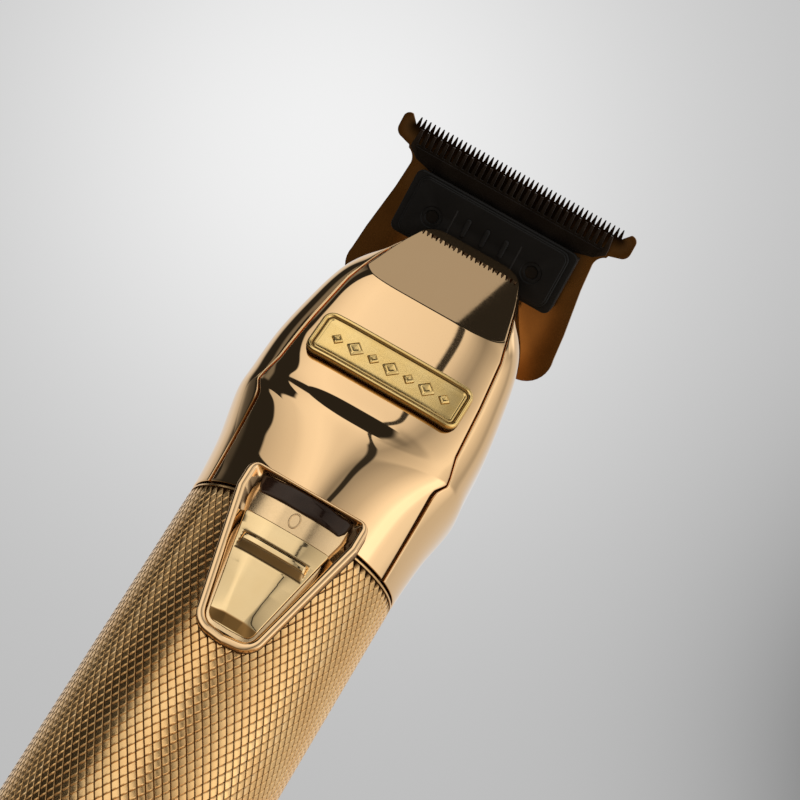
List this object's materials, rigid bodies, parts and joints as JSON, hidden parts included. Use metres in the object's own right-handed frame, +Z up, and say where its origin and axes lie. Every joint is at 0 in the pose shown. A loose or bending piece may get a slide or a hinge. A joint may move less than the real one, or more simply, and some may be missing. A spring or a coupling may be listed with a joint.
{
  "type": "hair clipper",
  "caption": "Cordless hair trimmer with a knurled round grip, a chromed wedge head, a framed slide switch and a wide T-shaped blade.",
  "frame": {"origin": "centre of the flat end cap, on the surface the trimmer stands on", "axes": "+Z up the grip to the teeth, -Y out of the switch side, X across the blade"},
  "size_m": [0.0432, 0.0394, 0.1809],
  "materials": {
    "knurled_gold": "diamond-knurled gold anodised",
    "cap_gold": "polished rose gold",
    "front_gold": "polished rose gold chrome",
    "rear_gold": "polished rose gold chrome",
    "bezel_gold": "polished rose gold chrome",
    "panel_gold": "satin rose gold",
    "slide_gold": "polished pale gold",
    "plate_gold": "polished yellow gold",
    "smoked_lens": "smoked clear",
    "blade_bronze": "bronze titanium coated",
    "cutter_black": "black coated steel",
    "yoke_plastic": "moulded",
    "block_black": "moulded",
    "bracket_steel": "stamped",
    "screw_steel": "turned",
    "screw_black": "black oxide",
    "spring_steel": "spring steel",
    "inlet_black": "moulded",
    "seal_rubber": "soft",
    "chassis_black": "moulded",
    "cell_wrap": "shrink sleeve",
    "contact_nickel": "nickel",
    "board_green": "solder mask",
    "switch_metal": "plated",
    "led_lens": "diffuse",
    "motor_steel": "plated",
    "bell_plastic": "moulded",
    "lead_red": "insulated",
    "shaft_steel": "ground",
    "cam_steel": "sintered",
    "plate_steel": "stamped"
  },
  "bodies": {
    "housing": {"grip_sleeve": "knurled_gold", "end_cap": "cap_gold", "power_inlet": "inlet_black", "inlet_seal": "seal_rubber", "cap_screws": "screw_steel", "chassis": "chassis_black", "battery_cell": "cell_wrap", "battery_contacts": "contact_nickel", "circuit_board": "board_green", "power_switch": "switch_metal", "status_led": "led_lens", "switch_bezel": "bezel_gold", "switch_plate": "panel_gold", "status_window": "smoked_lens", "front_cover": "front_gold", "rear_cover": "rear_gold", "nameplate": "plate_gold", "motor_can": "motor_steel", "motor_end_bell": "bell_plastic", "motor_leads": "lead_red", "motor_plate": "plate_steel", "motor_screws": "screw_black", "blade_bracket": "bracket_steel", "fixed_blade": "blade_bronze", "blade_block": "block_black", "tension_spring": "spring_steel", "blade_screws": "screw_steel", "block_screws": "screw_black"},
    "slide": {"switch_slide": "slide_gold"},
    "rotor": {"motor_shaft": "shaft_steel", "eccentric": "cam_steel"},
    "cutter_set": {"cutter": "cutter_black", "cutter_yoke": "yoke_plastic"}
  },
  "joints": [
    {"name": "switch_slide", "type": "slide", "parent": "housing", "child": "slide", "axis": [0, 0, 1], "range_m": [0, 0.0034]},
    {"name": "motor_spin", "type": "hinge", "parent": "housing", "child": "rotor", "pos_m": [0, 0.001, 0.12], "axis": [0, 0, 1], "continuous": true},
    {"name": "cutter_stroke", "type": "slide", "parent": "housing", "child": "cutter_set", "axis": [1, 0, 0], "range_m": [-0.0012, 0.0012]}
  ]
}
